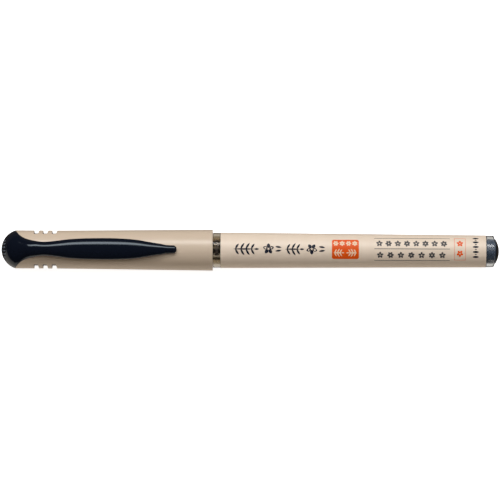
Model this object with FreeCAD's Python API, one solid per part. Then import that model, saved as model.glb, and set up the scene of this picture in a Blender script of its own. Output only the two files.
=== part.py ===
import FreeCAD, Part
import math
import os

# Capped brush pen, lying along +X with its clip up. Lengths are millimetres.
#
# Pieces are drawn in the pen's own working frame: the pen's axis is the X axis, x = 0 is the
# outermost point of the crown, x grows towards the tail and the clip is on the +Z side. At the
# end every piece is moved so that the origin is under the middle of the pen, on the surface
# that it lies on.
#
# The sizes run from the inside outwards: what fits over a piece takes its bore from that piece
# and a named clearance, so the cap, the barrel and the label follow the parts they hold.

# ---- fits ------------------------------------------------------------------------------------
PRESS_GAP = 0.02        # radial gap drawn between two pieces that are pressed together
SEAT_GAP = 0.05         # gap along the axis where one piece seats on another
CAP_RUN = 0.07          # radial clearance of the cap on the grip section's snap ring
CAP_AIR = 0.30          # radial clearance of the cap's bore on the grip
KNUCKLE_RUN = 0.05      # clearance of a flexing piece's round root in its socket
MOUTH_GAP = 0.27        # gap between the closed cap's mouth and the barrel's front face
LABEL_GAP = 0.01        # glue line between the barrel and its label

# ---- brush -----------------------------------------------------------------------------------
BRUSH_R = 0.95          # radius of the felt brush where it leaves its holder
BRUSH_POINT_R = 0.14    # radius of the very point
BRUSH_BELLY = 0.10      # how far the sides of the brush swell past a straight cone
TIP_LENGTH = 6.2        # length of brush that shows
TIP_ROOT = 1.3          # depth inside the holder's mouth at which the brush starts to flex
TIP_SWING = 8.0         # degrees that the brush bends either way
STEM_LENGTH = 12.2      # length of the held part of the brush, behind its flexing point

# ---- brush holder ----------------------------------------------------------------------------
HOLDER_LIP = 0.42       # wall of the holder round the brush at its mouth
HOLDER_NOSE = 6.5       # length of the holder that stands out of the grip section
HOLDER_R = 2.6          # radius of the holder inside the grip section
HOLDER_STEP_R = 2.25    # radius of the holder's nose where it meets the section
HOLDER_BODY = 5.55      # length of the holder from the section's front face to its flange
HOLDER_FLANGE = 1.2     # length of the flange that stops the holder
FLANGE_LIP = 0.40       # how far the flange stands out from the holder

# ---- grip section ----------------------------------------------------------------------------
NOSE_WALL = 0.80        # wall of the section round the holder
NOSE_LENGTH = 2.5       # straight nose that the inner cap closes on
CONE_LENGTH = 7.0       # cone between the nose and the grip
GRIP_R = 4.50           # radius of the grip
GRIP_WALL = 0.95        # wall of the grip round the collector
SECTION_LENGTH = 29.15  # front face of the section to the front face of the barrel
SNAP_RISE = 0.12        # height of the snap ring that holds the cap
SNAP_WIDTH = 1.2        # width of the snap ring
SNAP_BACK = 3.0         # distance from the snap ring's middle to the barrel
GRIP_RIBS = 6           # fine rings round the grip
RIB_PITCH = 1.6         # distance between the rings
RIB_DEPTH = 0.12        # depth of the grooves between the rings
SPIGOT_STEP = 0.47      # how far the rear spigot is set in from the grip
SPIGOT_LENGTH = 7.0     # length of the spigot inside the barrel

# ---- collector and feed ----------------------------------------------------------------------
FEED_R = 0.75           # radius of the fibre feed rod
FEED_TAIL = 1.4         # how far the feed rod reaches into the ink
CORE_R = 1.9            # radius of the collector between its fins
FIN_AIR = 0.10          # gap between the fins and the section's bore
FIN_WIDTH = 0.40        # thickness of one fin
FIN_PITCH = 0.80        # distance from one fin to the next
BAND_R = 2.92           # radius of the band seen through the window
BAND_GROOVE = 0.30      # depth of the grooves at each side of that band
BAND_WIDTH = 1.2        # width of the band
CHAMBER_DISC = 2.5      # thickness of the disc that closes the ink chamber

# ---- barrel, label and ink -------------------------------------------------------------------
BARREL_LENGTH = 80.05   # front face to tail face
BARREL_WALL = 0.94
BARREL_STRAIGHT = 7.8   # parallel length behind the front face, before the taper
BARREL_TAPER = 0.49     # how much smaller the barrel's radius is at the tail
TAIL_WALL = 0.93        # wall at the tail
TAIL_ROUND = 0.60       # rounding of the tail's outer edge
FRONT_WINDOW = 1.95     # clear length between the front face and the label
TAIL_WINDOW = 2.5       # clear length between the label and the tail face
LABEL_THICKNESS = 0.05
INK_LENGTH = 50.0       # length of the ink in the chamber, with air behind it

# ---- tail plug -------------------------------------------------------------------------------
PLUG_LENGTH = 9.0       # length inside the barrel
PLUG_WALL = 0.9
PLUG_FLOOR = 2.0        # thickness of the plug's closed end inside the barrel
PLUG_COLLAR = 0.30      # straight length that stands out of the barrel
PLUG_DOME = 1.05        # height of the dome beyond that
PLUG_DOME_STEP = 0.06   # how far the dome is set in from the barrel's bore

# ---- inner cap -------------------------------------------------------------------------------
INNER_WALL = 0.70       # wall of the inner cap
SEAL_GAP = 0.03         # radial gap drawn between the inner cap and the nose it seals on
INNER_FLOOR = 1.4       # thickness of the inner cap's closed end
TIP_SPACE = 6.0         # free space ahead of the brush
COLLAR_RISE = 0.47      # how far the collar stands out from the inner cap's tube
COLLAR_LENGTH = 6.1     # length of the collar
FLUTE_WIDTH = 1.0       # width of the air flutes along the collar
FLUTE_FLOOR = 0.05      # height of a flute's floor above the tube

# ---- cap shell -------------------------------------------------------------------------------
END_WALL = 0.80         # wall of the shell at the crown
MOUTH_WALL = 1.05       # wall of the shell at its mouth
END_STRAIGHT = 13.0     # parallel length from the crown, before the shell widens
SHOULDER_AIR = 0.15     # gap between the shell's shoulder and the inner cap's tube
SHOULDER_LENGTH = 1.5
MOUTH_ROUND = 0.22      # rounding of the mouth's outer edge
SLOT_COUNT = 3          # slots in each flank
SLOT_FIRST = 5.35       # first slot's steep wall, from the crown's seat
SLOT_PITCH = 2.57
SLOT_FLOOR = 1.15       # width of a slot at its floor
SLOT_SLANT = 0.35       # how much wider a slot is at the shell's surface
SLOT_BREAK = 0.30       # how far a slot's floor cuts through the shell's bore

# ---- crown and clip --------------------------------------------------------------------------
DOME_HEIGHT = 4.0       # the crown's dome, from its outermost point to the shell
PLUG_REACH = 7.3        # length of the crown's spigot inside the shell
CROWN_BORE = 3.4        # radius of the hollow in the spigot
BEAD_RISE = 0.08        # height of the bead that holds the crown in the shell
BEAD_WIDTH = 0.9
BEAD_BACK = 3.4         # bead's middle, from the crown's seat
HOOD_LENGTH = 4.6       # length of the tongue let into the shell
HOOD_GAP = 0.04         # gap round the tongue
CLIP_LENGTH = 46.15     # clip, from the crown's seat to its end
HINGE_BACK = 5.6        # the clip's flexing point, from the crown's seat
KNUCKLE_R = 0.75        # radius of the clip's round root
KNUCKLE_LIFT = 0.15     # gap between that root and the shell
CLIP_SWING = 5.0        # degrees that the clip lifts
CLIP_RISE = 3.15        # height of the clip's back above the shell, at its highest
CLIP_GAP = 1.45         # gap between the clip's straight stretch and the shell
BUMP_BACK = 1.95        # middle of the contact bump, from the clip's end
BUMP_GAP = 0.06         # gap between the bump and the shell
BUMP_LENGTH = 4.6       # length of the ramp up from the bump
NUB_RISE = 1.30         # height of the clip's back over the shell at the bump
# Half widths of hood and clip seen from above: distance from the crown's seat, half width.
HOOD_EDGE = [(1.40, 3.90), (2.90, 3.02), (4.80, 2.48)]
WAIST = (8.60, 1.91)
CLIP_EDGE = [(16.0, 2.56), (24.6, 2.98), (33.1, 2.66), (38.2, 2.03), (40.5, 1.58)]
NUB_HALF_WIDTH = 1.12

# ---- radii that follow -----------------------------------------------------------------------
STEM_BORE = BRUSH_R + PRESS_GAP
HOLDER_MOUTH_R = BRUSH_R + HOLDER_LIP
FLANGE_R = HOLDER_R + FLANGE_LIP
NOSE_BORE = HOLDER_R + PRESS_GAP
NOSE_R = NOSE_BORE + NOSE_WALL
FLANGE_BORE = FLANGE_R + PRESS_GAP
GRIP_BORE = GRIP_R - GRIP_WALL
SPIGOT_R = GRIP_R - SPIGOT_STEP
FEED_BORE = FEED_R + PRESS_GAP
FIN_R = GRIP_BORE - FIN_AIR
JOURNAL_R = GRIP_BORE - PRESS_GAP
BARREL_BORE = SPIGOT_R + PRESS_GAP
BARREL_R = BARREL_BORE + BARREL_WALL
TAIL_R = BARREL_R - BARREL_TAPER
TAIL_BORE = TAIL_R - TAIL_WALL
INNER_BORE = NOSE_R + SEAL_GAP
TUBE_R = INNER_BORE + INNER_WALL
COLLAR_R = TUBE_R + COLLAR_RISE
END_BORE = COLLAR_R + PRESS_GAP
CAP_END_R = END_BORE + END_WALL
SNAP_R = GRIP_R + SNAP_RISE
CAP_BORE = GRIP_R + CAP_AIR
CAP_MOUTH_R = CAP_BORE + MOUTH_WALL
SHOULDER_BORE = TUBE_R + SHOULDER_AIR
SPIGOT_CROWN_R = END_BORE - PRESS_GAP

# ---- places along the axis that follow -------------------------------------------------------
CROWN_SEAT = DOME_HEIGHT
SPIGOT_END = CROWN_SEAT + PLUG_REACH
INNER_START = SPIGOT_END + SEAT_GAP
INNER_FLOOR_X = INNER_START + INNER_FLOOR
TIP_X = INNER_FLOOR_X + TIP_SPACE
HOLDER_X = TIP_X + TIP_LENGTH
SECTION_X = HOLDER_X + HOLDER_NOSE
NOSE_END = SECTION_X + NOSE_LENGTH
CONE_END = NOSE_END + CONE_LENGTH
BARREL_X = SECTION_X + SECTION_LENGTH
CAP_MOUTH_X = BARREL_X - MOUTH_GAP
FLANGE_X = SECTION_X + HOLDER_BODY
COLLECTOR_X = FLANGE_X + HOLDER_FLANGE + SEAT_GAP
SNAP_X = BARREL_X - SNAP_BACK
WINDOW_END = BARREL_X + FRONT_WINDOW
SPIGOT_X = BARREL_X + SPIGOT_LENGTH
DISC_X = SPIGOT_X + SEAT_GAP
DISC_END = DISC_X + CHAMBER_DISC
TAPER_X = BARREL_X + BARREL_STRAIGHT
TAIL_X = BARREL_X + BARREL_LENGTH
LABEL_END = TAIL_X - TAIL_WINDOW
PLUG_X = TAIL_X - PLUG_LENGTH
PEN_END = TAIL_X + PLUG_COLLAR + PLUG_DOME
COLLAR_END = INNER_START + COLLAR_LENGTH
SHOULDER_X = COLLAR_END + SEAT_GAP
STRAIGHT_END = CROWN_SEAT + END_STRAIGHT
CLIP_END = CROWN_SEAT + CLIP_LENGTH
HINGE_X = CROWN_SEAT + HINGE_BACK
HINGE_Z = CAP_END_R + KNUCKLE_LIFT + KNUCKLE_R
BUMP_X = CLIP_END - BUMP_BACK
FLEX_X = HOLDER_X + TIP_ROOT
STEM_END = FLEX_X + STEM_LENGTH

WIDE = 4 * CAP_MOUTH_R  # larger than any section of the pen
V = FreeCAD.Vector
ORIGIN = V(0, 0, 0)
ALONG = V(1, 0, 0)
ACROSS = V(0, 1, 0)
UP = V(0, 0, 1)


def at(point, y=0.0):
    """(x, z) in the pen's middle plane, or in the plane at y."""
    return V(point[0], y, point[1])


def outline(*steps):
    """Closed wire in the middle plane. A step is an (x, z) point, or a (via, end) pair for an arc."""
    edges = []
    here = at(steps[0])
    for step in steps[1:] + steps[:1]:
        if isinstance(step[0], tuple):
            via, end = at(step[0]), at(step[1])
            edges.append(Part.Arc(here, via, end).toShape())
        else:
            end = at(step)
            if end.distanceToPoint(here) < 1e-9:
                continue
            edges.append(Part.makeLine(here, end))
        here = end
    return Part.Wire(edges)


def solid_of(shape):
    """The shape's one solid, facing outwards."""
    solid = shape.Solids[0]
    if solid.Volume < 0:
        solid.reverse()
    return solid


def turned(*steps):
    """Solid turned about the pen's axis from an outline of (x, r) steps."""
    return solid_of(Part.Face(outline(*steps)).revolve(ORIGIN, ALONG, 360))


def ring(start, end, inner, outer):
    """Plain tube between two places on the axis."""
    return turned((start, inner), (end, inner), (end, outer), (start, outer))


def box(low, high):
    """Box between two corners."""
    return Part.makeBox(high[0] - low[0], high[1] - low[1], high[2] - low[2], V(*low))


def cross_rod(x, z, radius):
    """Round bar across the pen, through (x, z)."""
    return Part.makeCylinder(radius, 2 * WIDE, V(x, -WIDE, z), ACROSS)


def barrel_share(x):
    """How far along the barrel's taper a place is, from 0 to 1."""
    return min(max((x - TAPER_X) / (TAIL_X - TAPER_X), 0.0), 1.0)


def barrel_outside(x):
    """Outer radius of the barrel at x."""
    return BARREL_R - BARREL_TAPER * barrel_share(x)


def barrel_inside(x):
    """Bore radius of the barrel at x."""
    return BARREL_BORE + (TAIL_BORE - BARREL_BORE) * barrel_share(x)


def shell_outside(x):
    """Outer radius of the cap shell at x."""
    share = (x - STRAIGHT_END) / (CAP_MOUTH_X - STRAIGHT_END)
    return CAP_END_R + (CAP_MOUTH_R - CAP_END_R) * min(max(share, 0.0), 1.0)


# ---- writing end -----------------------------------------------------------------------------


def brush_tip():
    """Pointed felt brush, with a round root that turns in the stem."""
    middle = (TIP_X + HOLDER_X) / 2
    belly = (BRUSH_POINT_R + BRUSH_R) / 2 + BRUSH_BELLY
    round_x = TIP_X + BRUSH_POINT_R * (1 - math.sqrt(0.5))
    felt = turned(
        (TIP_X, 0),
        ((round_x, BRUSH_POINT_R * math.sqrt(0.5)), (TIP_X + BRUSH_POINT_R, BRUSH_POINT_R)),
        ((middle, belly), (HOLDER_X, BRUSH_R)),
        (FLEX_X, BRUSH_R),
        (FLEX_X, 0),
    )
    return felt.fuse(Part.makeSphere(BRUSH_R, V(FLEX_X, 0, 0))).removeSplitter()


def brush_stem():
    """Held part of the brush, hollowed at the front for the flexing root."""
    bar = turned((FLEX_X, 0), (FLEX_X, BRUSH_R), (STEM_END, BRUSH_R), (STEM_END, 0))
    return bar.cut(Part.makeSphere(BRUSH_R + KNUCKLE_RUN, V(FLEX_X, 0, 0)))


def brush_holder():
    """Tapered holder that grips the brush, with a mouth flared for the brush's swing."""
    flare = BRUSH_R + (TIP_ROOT + HOLDER_LIP) * math.tan(math.radians(TIP_SWING))
    lip = HOLDER_MOUTH_R + (flare - BRUSH_R)
    flange_end = FLANGE_X + HOLDER_FLANGE
    return turned(
        (HOLDER_X, flare),
        (HOLDER_X, lip),
        (SECTION_X, HOLDER_STEP_R),
        (SECTION_X, HOLDER_R),
        (FLANGE_X, HOLDER_R),
        (FLANGE_X, FLANGE_R),
        (flange_end, FLANGE_R),
        (flange_end, STEM_BORE),
        (FLEX_X, STEM_BORE),
    )


def grip_section():
    """Clear front housing: nose, cone, ringed grip, snap ring and the spigot in the barrel."""
    body = turned(
        (SECTION_X, NOSE_BORE),
        (SECTION_X, NOSE_R - NOSE_WALL / 4),
        (SECTION_X + NOSE_WALL / 4, NOSE_R),
        (NOSE_END, NOSE_R),
        (CONE_END, GRIP_R),
        (SNAP_X - SNAP_WIDTH / 2, GRIP_R),
        ((SNAP_X, SNAP_R), (SNAP_X + SNAP_WIDTH / 2, GRIP_R)),
        (BARREL_X - SEAT_GAP, GRIP_R),
        (BARREL_X - SEAT_GAP, SPIGOT_R),
        (SPIGOT_X, SPIGOT_R),
        (SPIGOT_X, GRIP_BORE),
        (CONE_END, GRIP_BORE),
        (CONE_END, FLANGE_BORE),
        (FLANGE_X - SEAT_GAP, FLANGE_BORE),
        (FLANGE_X - SEAT_GAP, NOSE_BORE),
    )
    first = CONE_END + RIB_PITCH
    for k in range(GRIP_RIBS):
        middle = first + k * RIB_PITCH
        half = RIB_PITCH / 4
        groove = turned(
            (middle - half, GRIP_R + RIB_DEPTH),
            (middle - half, GRIP_R),
            ((middle, GRIP_R - RIB_DEPTH), (middle + half, GRIP_R)),
            (middle + half, GRIP_R + RIB_DEPTH),
        )
        body = body.cut(groove)
    return body


def collector():
    """Finned ink regulator with the disc that closes the ink chamber."""
    boss_end = CONE_END - SEAT_GAP
    window_middle = (BARREL_X + WINDOW_END) / 2
    band_start = window_middle - BAND_WIDTH / 2
    band_end = window_middle + BAND_WIDTH / 2
    fins_end = BARREL_X - FIN_PITCH
    journal_x = WINDOW_END + FIN_WIDTH
    core = turned(
        (COLLECTOR_X, FEED_BORE),
        (COLLECTOR_X, FLANGE_R),
        (boss_end, FLANGE_R),
        (boss_end, CORE_R),
        (fins_end, CORE_R),
        (fins_end, BAND_R - BAND_GROOVE),
        (band_start, BAND_R - BAND_GROOVE),
        (band_start, BAND_R),
        (band_end, BAND_R),
        (band_end, BAND_R - BAND_GROOVE),
        (journal_x, BAND_R - BAND_GROOVE),
        (journal_x, JOURNAL_R),
        (DISC_X, JOURNAL_R),
        (DISC_X, barrel_inside(DISC_END) - PRESS_GAP),
        (DISC_END, barrel_inside(DISC_END) - PRESS_GAP),
        (DISC_END, FEED_BORE),
    )
    count = int((fins_end - boss_end) / FIN_PITCH)
    fins = [
        ring(
            boss_end + (k + 1) * FIN_PITCH - FIN_WIDTH,
            boss_end + (k + 1) * FIN_PITCH,
            CORE_R - FIN_WIDTH,
            FIN_R,
        )
        for k in range(count)
    ]
    pocket = ring(COLLECTOR_X - 1, STEM_END + SEAT_GAP, 0.0, STEM_BORE)
    return core.fuse(fins).cut(pocket)


def feed_rod():
    """Fibre rod that carries ink from the chamber to the brush."""
    start = STEM_END + 2 * SEAT_GAP
    return ring(start, DISC_END + FEED_TAIL, 0.0, FEED_R)


# ---- barrel ----------------------------------------------------------------------------------


def barrel():
    """Clear tube, parallel behind its front face and then tapered to a rounded tail."""
    corner = TAIL_X - TAIL_ROUND
    edge = barrel_outside(corner)
    diagonal = TAIL_ROUND * math.sqrt(0.5)
    return turned(
        (BARREL_X, BARREL_BORE),
        (BARREL_X, BARREL_R),
        (TAPER_X, BARREL_R),
        (corner, edge),
        ((corner + diagonal, edge - TAIL_ROUND + diagonal), (TAIL_X, edge - TAIL_ROUND)),
        (TAIL_X, TAIL_BORE),
        (TAPER_X, BARREL_BORE),
    )


def label():
    """Printed film round the barrel, between the two clear windows."""
    inner = LABEL_GAP
    outer = LABEL_GAP + LABEL_THICKNESS
    return turned(
        (WINDOW_END, BARREL_R + inner),
        (WINDOW_END, BARREL_R + outer),
        (TAPER_X, BARREL_R + outer),
        (LABEL_END, barrel_outside(LABEL_END) + outer),
        (LABEL_END, barrel_outside(LABEL_END) + inner),
        (TAPER_X, BARREL_R + inner),
    )


def ink():
    """Liquid ink in the chamber, round the feed rod's end."""
    start = DISC_END + SEAT_GAP
    end = start + INK_LENGTH
    rod_end = DISC_END + FEED_TAIL + SEAT_GAP
    wall = SEAT_GAP
    return turned(
        (start, FEED_R + wall),
        (start, barrel_inside(end) - wall),
        (end, barrel_inside(end) - wall),
        (end, 0),
        (rod_end, 0),
        (rod_end, FEED_R + wall),
    )


def tail_plug():
    """Domed plug pressed into the barrel's open end, hollow towards the ink."""
    front = barrel_inside(PLUG_X) - PRESS_GAP
    rear = TAIL_BORE - PRESS_GAP
    dome_r = TAIL_BORE - PLUG_DOME_STEP
    collar_end = TAIL_X + PLUG_COLLAR
    sphere = (dome_r**2 + PLUG_DOME**2) / (2 * PLUG_DOME)
    half_angle = math.asin(dome_r / sphere) / 2
    via = (PEN_END - sphere * (1 - math.cos(half_angle)), sphere * math.sin(half_angle))
    cup = rear - PLUG_WALL
    return turned(
        (PLUG_X, cup),
        (PLUG_X, front - PLUG_WALL / 3),
        (PLUG_X + PLUG_WALL, barrel_inside(PLUG_X + PLUG_WALL) - PRESS_GAP),
        (TAIL_X, rear),
        (TAIL_X, dome_r),
        (collar_end, dome_r),
        (via, (PEN_END, 0)),
        (TAIL_X - PLUG_FLOOR, 0),
        (TAIL_X - PLUG_FLOOR, cup),
    )


# ---- cap -------------------------------------------------------------------------------------


def inner_cap():
    """Cup that closes on the section's nose and keeps the brush moist, with fluted collar."""
    rim = NOSE_END - SEAT_GAP
    cup = turned(
        (INNER_START, 0),
        (INNER_START, COLLAR_R),
        (COLLAR_END, COLLAR_R),
        (COLLAR_END, TUBE_R),
        (rim, TUBE_R),
        (rim, INNER_BORE),
        (INNER_FLOOR_X, INNER_BORE),
        (INNER_FLOOR_X, 0),
    )
    floor = TUBE_R + FLUTE_FLOOR
    for side in (-1, 1):
        y = sorted((side * floor, side * WIDE))
        flute = box((INNER_START - 1, y[0], -FLUTE_WIDTH / 2), (COLLAR_END + 1, y[1], FLUTE_WIDTH / 2))
        cup = cup.cut(flute)
    return cup


def slot(start, side):
    """Cutter for one slot across a flank of the shell: one steep wall and one slanted wall."""
    floor = END_BORE - SLOT_BREAK
    deep = CAP_END_R - floor
    slant = SLOT_SLANT / deep * (WIDE - floor)
    corners = [
        V(start, side * floor, -WIDE),
        V(start + SLOT_FLOOR, side * floor, -WIDE),
        V(start + SLOT_FLOOR + slant, side * WIDE, -WIDE),
        V(start, side * WIDE, -WIDE),
    ]
    return Part.Face(Part.makePolygon(corners + corners[:1])).extrude(UP * (2 * WIDE))


def cap_shell():
    """Cap's outer shell: crown bore, shoulder for the inner cap, main bore with a snap bead."""
    mouth_edge = CAP_MOUTH_X - MOUTH_ROUND
    diagonal = MOUTH_ROUND * math.sqrt(0.5)
    outer = shell_outside(mouth_edge)
    widened = CONE_END
    bead = SNAP_R + CAP_RUN
    bead_rise = CAP_BORE - bead
    shell = turned(
        (CROWN_SEAT, END_BORE),
        (CROWN_SEAT, CAP_END_R),
        (STRAIGHT_END, CAP_END_R),
        (mouth_edge, outer),
        ((mouth_edge + diagonal, outer - MOUTH_ROUND + diagonal), (CAP_MOUTH_X, outer - MOUTH_ROUND)),
        (CAP_MOUTH_X, CAP_BORE + MOUTH_ROUND),
        (CAP_MOUTH_X - MOUTH_ROUND, CAP_BORE),
        (SNAP_X + SNAP_WIDTH + bead_rise, CAP_BORE),
        (SNAP_X + SNAP_WIDTH, bead),
        (SNAP_X, bead),
        (SNAP_X - bead_rise, CAP_BORE),
        (widened, CAP_BORE),
        (SHOULDER_X + SHOULDER_LENGTH, SHOULDER_BORE),
        (SHOULDER_X, SHOULDER_BORE),
        (SHOULDER_X, END_BORE),
    )
    shell = shell.cut(bead_ring(PRESS_GAP))
    for k in range(SLOT_COUNT):
        for side in (-1, 1):
            shell = shell.cut(slot(CROWN_SEAT + SLOT_FIRST + k * SLOT_PITCH, side))
    return shell.cut(hood_prism(HOOD_GAP, CROWN_SEAT - 1, CROWN_SEAT + HOOD_LENGTH + HOOD_GAP))


def bead_ring(grow):
    """Snap bead of the crown's spigot, or with grow its groove in the shell."""
    middle = CROWN_SEAT + BEAD_BACK
    half = BEAD_WIDTH / 2 + grow
    base = SPIGOT_CROWN_R - BEAD_RISE
    top = SPIGOT_CROWN_R + BEAD_RISE + grow
    return turned(
        (middle - half, base),
        (middle - half, SPIGOT_CROWN_R),
        ((middle, top), (middle + half, SPIGOT_CROWN_R)),
        (middle + half, base),
    )


def plan_edge(grow=0.0):
    """Points of the hood and clip's edge seen from above, on the +Y side."""
    edge = [(-grow, CAP_END_R)] + HOOD_EDGE + [WAIST] + CLIP_EDGE
    edge += [(CLIP_LENGTH - NUB_HALF_WIDTH, NUB_HALF_WIDTH)]
    return [V(CROWN_SEAT + s, w + grow, 0) for s, w in edge]


def plan_prism(grow=0.0):
    """Upright prism over the outline of hood and clip seen from above, with a round end."""
    right = plan_edge(grow)
    left = [V(p.x, -p.y, 0) for p in reversed(right)]
    sides = []
    for points in (right, left):
        curve = Part.BSplineCurve()
        curve.interpolate(points)
        sides.append(curve.toShape())
    end = Part.Arc(right[-1], V(CLIP_END + grow, 0, 0), left[0]).toShape()
    back = Part.makeLine(left[-1], right[0])
    return Part.Face(Part.Wire([sides[0], end, sides[1], back])).extrude(UP * WIDE)


def hood_prism(grow, start, end):
    """Stretch of that prism between two places along the pen."""
    return plan_prism(grow).common(box((start, -WIDE, 0), (end, WIDE, WIDE)))


def clip_back():
    """Body turned about the pen's axis whose outside is the back of hood and clip."""
    top = CAP_END_R + CLIP_RISE
    nub = shell_outside(BUMP_X) + NUB_RISE
    run = CLIP_END - HINGE_X
    points = [
        (CROWN_SEAT, CAP_END_R),
        (CROWN_SEAT + HINGE_BACK / 3, CAP_END_R + 0.30 * CLIP_RISE),
        (HINGE_X, CAP_END_R + 0.64 * CLIP_RISE),
        (HINGE_X + 0.12 * run, CAP_END_R + 0.86 * CLIP_RISE),
        (HINGE_X + 0.42 * run, top),
        (HINGE_X + 0.72 * run, top - 0.06 * CLIP_RISE),
        (BUMP_X - BUMP_LENGTH / 2, (top + nub) / 2),
        (BUMP_X, nub),
        (CLIP_END + 1, nub - 0.10 * NUB_RISE),
    ]
    curve = Part.BSplineCurve()
    curve.interpolate([at(p) for p in points])
    first, last = at(points[0]), at(points[-1])
    down = Part.makeLine(last, V(last.x, 0, 0))
    back = Part.makeLine(V(last.x, 0, 0), V(first.x, 0, 0))
    wire = Part.Wire([curve.toShape(), down, back, Part.makeLine(V(first.x, 0, 0), first)])
    return solid_of(Part.Face(wire).revolve(ORIGIN, ALONG, 360))


def clip_side():
    """Slab whose underside is the underside of the clip, seen from the side."""
    low = CAP_END_R + KNUCKLE_LIFT
    high = CAP_END_R + CLIP_GAP
    ramp_x = BUMP_X - BUMP_LENGTH
    bump_z = shell_outside(BUMP_X) + BUMP_GAP
    lift = [(HINGE_X, low), (HINGE_X + 1.2, low + 0.35), (HINGE_X + 3.4, high), (HINGE_X + 6.0, high)]
    rise = Part.BSplineCurve()
    rise.interpolate([at(p) for p in lift])
    ramp = Part.BSplineCurve()
    fall = [(ramp_x, high), (ramp_x + 0.45 * BUMP_LENGTH, (high + bump_z) / 2), (BUMP_X, bump_z)]
    ramp.interpolate([at(p) for p in fall])
    toe = (CLIP_END + 0.2, bump_z + 0.35)
    middle = ((BUMP_X + toe[0]) / 2, bump_z + 0.06)
    edges = [
        rise.toShape(),
        Part.makeLine(at(lift[-1]), at(fall[0])),
        ramp.toShape(),
        Part.Arc(at(fall[-1]), at(middle), at(toe)).toShape(),
        Part.makeLine(at(toe), at((toe[0], WIDE))),
        Part.makeLine(at((toe[0], WIDE)), at((HINGE_X, WIDE))),
        Part.makeLine(at((HINGE_X, WIDE)), at(lift[0])),
    ]
    slab = Part.Face(Part.Wire(edges)).extrude(ACROSS * (2 * WIDE))
    slab.translate(ACROSS * -WIDE)
    return slab


def crown():
    """Domed crown with its spigot, the tongue let into the shell and the clip's socket."""
    sphere = (CAP_END_R**2 + DOME_HEIGHT**2) / (2 * DOME_HEIGHT)
    half_angle = math.asin(min(CAP_END_R / sphere, 1.0)) / 2
    via = (sphere * (1 - math.cos(half_angle)), sphere * math.sin(half_angle))
    seat = CROWN_SEAT - SEAT_GAP
    body = turned(
        (0, 0),
        (via, (CROWN_SEAT, CAP_END_R)),
        (CROWN_SEAT, SPIGOT_CROWN_R),
        (SPIGOT_END, SPIGOT_CROWN_R),
        (SPIGOT_END, CROWN_BORE),
        (seat, CROWN_BORE),
        (seat, 0),
    )
    body = body.fuse(bead_ring(0.0))
    hood_end = CROWN_SEAT + HOOD_LENGTH
    back = clip_back()
    tongue = hood_prism(0.0, CROWN_SEAT, hood_end).common(back)
    bore = ring(CROWN_SEAT - 1, hood_end + 1, 0.0, SPIGOT_CROWN_R - PRESS_GAP)
    root_end = HINGE_X - KNUCKLE_R / 2
    root = hood_prism(0.0, hood_end - SEAT_GAP, root_end).common(back)
    over_shell = ring(hood_end - 1, root_end + 1, 0.0, CAP_END_R + SEAT_GAP)
    body = body.fuse([tongue.cut(bore), root.cut(over_shell)])
    return body.cut(cross_rod(HINGE_X, HINGE_Z, KNUCKLE_R + KNUCKLE_RUN)).removeSplitter()


def clip_arm():
    """Sprung clip: straight stretch, contact bump and round nub, with a round root."""
    plan = plan_prism()
    arm = plan.common(clip_back()).common(clip_side())
    knuckle = cross_rod(HINGE_X, HINGE_Z, KNUCKLE_R).common(plan)
    return arm.fuse(knuckle).removeSplitter()


PIECES = {
    "brush_tip": brush_tip,
    "brush_stem": brush_stem,
    "brush_holder": brush_holder,
    "grip_section": grip_section,
    "collector": collector,
    "feed_rod": feed_rod,
    "barrel": barrel,
    "label": label,
    "ink": ink,
    "tail_plug": tail_plug,
    "inner_cap": inner_cap,
    "cap_shell": cap_shell,
    "crown": crown,
    "clip_arm": clip_arm,
}


def main():
    """Builds every piece, moves it to the row frame and writes one file for each."""
    os.makedirs("parts", exist_ok=True)
    to_frame = V(-PEN_END / 2, 0, CAP_MOUTH_R)
    for name, make in PIECES.items():
        shape = make()
        shape.translate(to_frame)
        shape.exportStep(f"parts/{name}.step")
        print(f"{name}: {len(shape.Solids)} solid, {shape.Volume:.2f} mm3, valid {shape.isValid()}")
    print(f"length {PEN_END:.2f}, cap mouth {2 * CAP_MOUTH_R:.2f}, barrel {2 * BARREL_R:.2f}")


main()
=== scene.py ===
import logging
import math
from dataclasses import dataclass
from enum import Enum
from typing import Callable, Iterable, Sequence

import bmesh
import bpy
from mathutils import Matrix, Vector


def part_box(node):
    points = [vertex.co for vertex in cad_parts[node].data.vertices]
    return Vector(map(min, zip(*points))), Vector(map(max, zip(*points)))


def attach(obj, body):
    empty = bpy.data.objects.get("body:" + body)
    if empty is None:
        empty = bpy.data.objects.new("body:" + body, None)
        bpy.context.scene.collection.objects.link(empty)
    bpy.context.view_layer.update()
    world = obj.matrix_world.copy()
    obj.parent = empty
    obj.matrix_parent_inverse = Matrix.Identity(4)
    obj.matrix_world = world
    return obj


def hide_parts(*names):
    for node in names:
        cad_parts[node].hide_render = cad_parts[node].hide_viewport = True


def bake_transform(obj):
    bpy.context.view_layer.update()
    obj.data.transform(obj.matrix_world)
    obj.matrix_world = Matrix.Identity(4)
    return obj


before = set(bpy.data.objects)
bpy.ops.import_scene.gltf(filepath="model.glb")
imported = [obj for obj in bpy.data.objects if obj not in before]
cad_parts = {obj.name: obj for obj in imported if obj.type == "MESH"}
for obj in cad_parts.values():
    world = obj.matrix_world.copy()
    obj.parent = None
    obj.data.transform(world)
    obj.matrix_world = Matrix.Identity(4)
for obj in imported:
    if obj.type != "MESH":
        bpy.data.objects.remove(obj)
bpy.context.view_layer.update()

log = logging.getLogger("brush_pen")

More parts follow.
